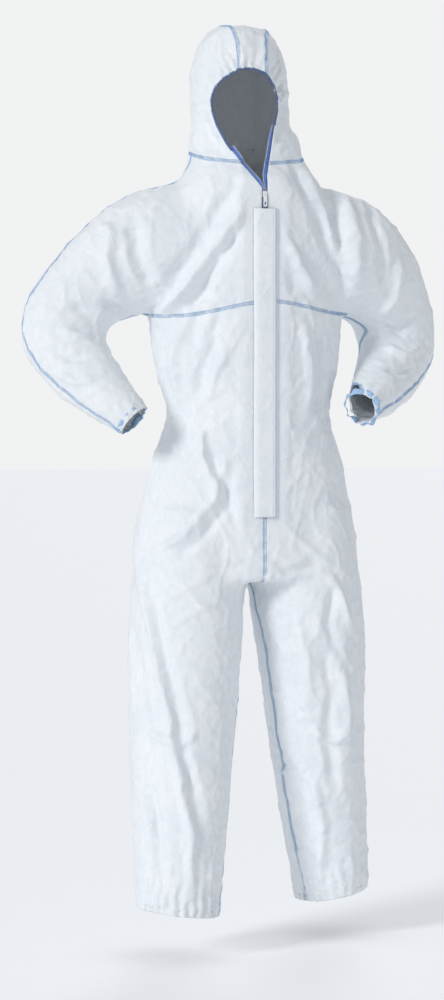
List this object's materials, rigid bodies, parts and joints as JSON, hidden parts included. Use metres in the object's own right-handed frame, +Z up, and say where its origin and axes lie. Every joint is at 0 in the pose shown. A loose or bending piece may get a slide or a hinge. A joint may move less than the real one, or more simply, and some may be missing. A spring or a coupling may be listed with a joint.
{
  "type": "chemical protective suit",
  "caption": "Hooded one-piece protective coverall of white nonwoven, worn shape, with front zip, storm flap and elasticated face, cuffs, waist and ankles.",
  "frame": {"origin": "on the wearer's centre line between the ankles, at the level of the trouser hems, in the plane of the zip", "axes": "+Z up the wearer, the front of the suit faces -Y, +X is the wearer's left"},
  "size_m": [0.8543, 0.333, 1.7178],
  "materials": {
    "cloth": "white spunbond nonwoven, matt",
    "thread": "pale blue overlock thread",
    "binding": "dark blue elastic binding",
    "elastic": "covered elastic",
    "tape": "royal blue woven zip tape",
    "coil": "white nylon coil",
    "slider": "white lacquered",
    "label": "blank satin label"
  },
  "bodies": {
    "suit": {"ankle_elastic_left": "elastic", "ankle_elastic_right": "elastic", "centre_front_seam": "thread", "chest_seam": "thread", "cuff_elastic_left": "thread", "cuff_elastic_right": "thread", "flap_base": "cloth", "flap_seam": "thread", "inseam_left": "thread", "inseam_right": "thread", "neck_label": "label", "neck_seam": "thread", "seat_seam": "thread", "sleeve_top_seam_left": "thread", "sleeve_top_seam_right": "thread", "trouser_left": "cloth", "trouser_right": "cloth", "underarm_seam_left": "thread", "underarm_seam_right": "thread", "upper_back_left": "cloth", "upper_back_right": "cloth", "upper_back_seam": "thread", "upper_front_left": "cloth", "upper_front_right": "cloth", "waist_elastic": "elastic", "zip_bottom_stop": "slider", "zip_coil_left": "coil", "zip_coil_right": "coil", "zip_tape_left": "tape", "zip_tape_right": "tape"},
    "hood": {"hood_crown": "cloth", "hood_crown_seam_left": "thread", "hood_crown_seam_right": "thread", "hood_face_elastic": "binding", "hood_side_left": "cloth", "hood_side_right": "cloth", "hood_zip_coil_left": "coil", "hood_zip_coil_right": "coil", "hood_zip_tape_left": "tape", "hood_zip_tape_right": "tape", "zip_top_stop_left": "slider", "zip_top_stop_right": "slider"},
    "flap": {"storm_flap": "cloth"},
    "slider": {"zip_slider": "slider"},
    "pull": {"zip_pull": "slider"}
  },
  "joints": [
    {"name": "hood_fold", "type": "hinge", "parent": "suit", "child": "hood", "pos_m": [0, 0.0915, 1.482], "axis": [-1, 0, 0], "range_deg": [0, 100]},
    {"name": "flap_swing", "type": "hinge", "parent": "suit", "child": "flap", "pos_m": [0.0162, -0.1301, 1.05], "axis": [0, 0, 1], "range_deg": [0, 150]},
    {"name": "zip_travel", "type": "slide", "parent": "suit", "child": "slider", "axis": [0, 0, -1], "range_m": [0, 0.592]},
    {"name": "pull_swing", "type": "hinge", "parent": "slider", "child": "pull", "pos_m": [0, -0.1247, 1.378], "axis": [-1, 0, 0], "range_deg": [0, 175]}
  ]
}
